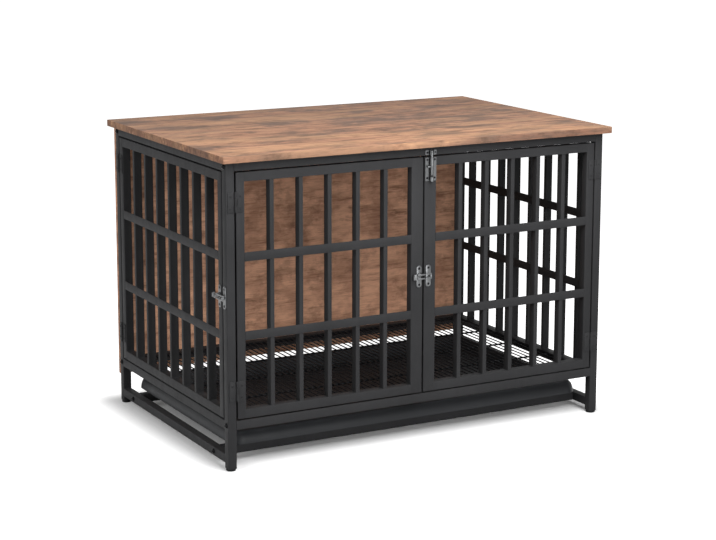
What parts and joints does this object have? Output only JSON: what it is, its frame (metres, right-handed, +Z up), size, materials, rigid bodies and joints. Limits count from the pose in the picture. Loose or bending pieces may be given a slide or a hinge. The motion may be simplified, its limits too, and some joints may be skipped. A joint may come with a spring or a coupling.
{
  "type": "dog crate end table",
  "caption": "Steel dog crate with hinged front and side doors, latches, a wire floor and a pull-out tray, under a wood-look board that makes it an end table.",
  "frame": {"origin": "on the floor under the middle of the top board", "axes": "+X to the right as seen from the front doors, +Y towards the back panel, +Z up"},
  "size_m": [1, 0.67, 0.695],
  "materials": {
    "top_laminate": "rustic brown wood-grain laminate, satin",
    "back_laminate": "rustic brown wood-grain laminate, satin",
    "black_steel": "fine satin black powder coat",
    "hinge_steel": "satin black powder coat",
    "black_wire": "black dipped wire",
    "black_tray": "black moulded plastic, fine grain",
    "black_foot": "black moulded plastic",
    "black_bolt": "blackened steel",
    "zinc": "bright zinc plate"
  },
  "bodies": {
    "frame": {"table_top": "top_laminate", "back_panel": "back_laminate", "left_side_frame": "black_steel", "right_side_frame": "black_steel", "top_rail_front": "black_steel", "top_rail_back": "black_steel", "bottom_rail_front": "black_steel", "bottom_rail_back": "black_steel", "tray_rail_front": "black_steel", "tray_rail_back": "black_steel", "right_side_grille": "black_steel", "wire_floor": "black_wire", "foot_front_left": "black_foot", "foot_front_right": "black_foot", "foot_back_left": "black_foot", "foot_back_right": "black_foot", "frame_bolt_left_front_top": "black_bolt", "frame_bolt_left_front_bottom": "black_bolt", "frame_bolt_left_back_top": "black_bolt", "frame_bolt_left_back_bottom": "black_bolt", "frame_bolt_left_tray_front": "black_bolt", "frame_bolt_left_tray_back": "black_bolt", "frame_bolt_right_front_top": "black_bolt", "frame_bolt_right_front_bottom": "black_bolt", "frame_bolt_right_back_top": "black_bolt", "frame_bolt_right_back_bottom": "black_bolt", "frame_bolt_right_tray_front": "black_bolt", "frame_bolt_right_tray_back": "black_bolt", "left_front_hinge_upper_post_leaf": "hinge_steel", "left_front_hinge_lower_post_leaf": "hinge_steel", "right_front_hinge_upper_post_leaf": "hinge_steel", "right_front_hinge_lower_post_leaf": "hinge_steel", "side_hinge_upper_post_leaf": "hinge_steel", "side_hinge_lower_post_leaf": "hinge_steel", "top_bolt_keeper": "zinc", "side_latch_catch": "zinc"},
    "left_door": {"left_front_door": "black_steel", "left_front_hinge_upper_door_leaf": "hinge_steel", "left_front_hinge_lower_door_leaf": "hinge_steel", "front_latch_plate": "zinc"},
    "right_door": {"right_front_door": "black_steel", "right_front_hinge_upper_door_leaf": "hinge_steel", "right_front_hinge_lower_door_leaf": "hinge_steel", "front_latch_catch": "zinc", "top_bolt_base": "zinc"},
    "side_door": {"side_door": "black_steel", "side_hinge_upper_door_leaf": "hinge_steel", "side_hinge_lower_door_leaf": "hinge_steel", "side_latch_plate": "zinc"},
    "top_bolt": {"top_bolt_rod": "zinc"},
    "front_latch_lever": {"front_latch_lever": "zinc"},
    "front_latch_loop": {"front_latch_loop": "zinc"},
    "side_latch_lever": {"side_latch_lever": "zinc"},
    "side_latch_loop": {"side_latch_loop": "zinc"},
    "tray": {"tray": "black_tray"}
  },
  "joints": [
    {"name": "left_door_hinge", "type": "hinge", "parent": "frame", "child": "left_door", "pos_m": [-0.46425, -0.3185, 0.386], "axis": [0, 0, -1], "range_deg": [0, 170]},
    {"name": "right_door_hinge", "type": "hinge", "parent": "frame", "child": "right_door", "pos_m": [0.46425, -0.3185, 0.386], "axis": [0, 0, 1], "range_deg": [0, 170]},
    {"name": "side_door_hinge", "type": "hinge", "parent": "frame", "child": "side_door", "pos_m": [-0.4885, 0.29225, 0.386], "axis": [0, 0, -1], "range_deg": [0, 170]},
    {"name": "top_bolt_slide", "type": "slide", "parent": "right_door", "child": "top_bolt", "axis": [0, 0, -1], "range_m": [0, 0.014]},
    {"name": "front_latch_lever_pivot", "type": "hinge", "parent": "left_door", "child": "front_latch_lever", "pos_m": [-0.012, -0.3205, 0.386], "axis": [0, 0, 1], "range_deg": [0, 80]},
    {"name": "front_latch_loop_pivot", "type": "hinge", "parent": "front_latch_lever", "child": "front_latch_loop", "pos_m": [-0.017, -0.3232, 0.386], "axis": [0, 0, 1], "range_deg": [-135, 0]},
    {"name": "side_latch_lever_pivot", "type": "hinge", "parent": "side_door", "child": "side_latch_lever", "pos_m": [-0.4905, -0.28225, 0.386], "axis": [0, 0, 1], "range_deg": [0, 80]},
    {"name": "side_latch_loop_pivot", "type": "hinge", "parent": "side_latch_lever", "child": "side_latch_loop", "pos_m": [-0.4932, -0.27725, 0.386], "axis": [0, 0, 1], "range_deg": [-135, 0]},
    {"name": "tray_slide", "type": "slide", "parent": "frame", "child": "tray", "axis": [0, -1, 0], "range_m": [0, 0.5]}
  ],
  "couplings": [
    {"joint": "front_latch_loop_pivot", "follows": "front_latch_lever_pivot", "ratio": -1.5},
    {"joint": "side_latch_loop_pivot", "follows": "side_latch_lever_pivot", "ratio": -1.5}
  ]
}
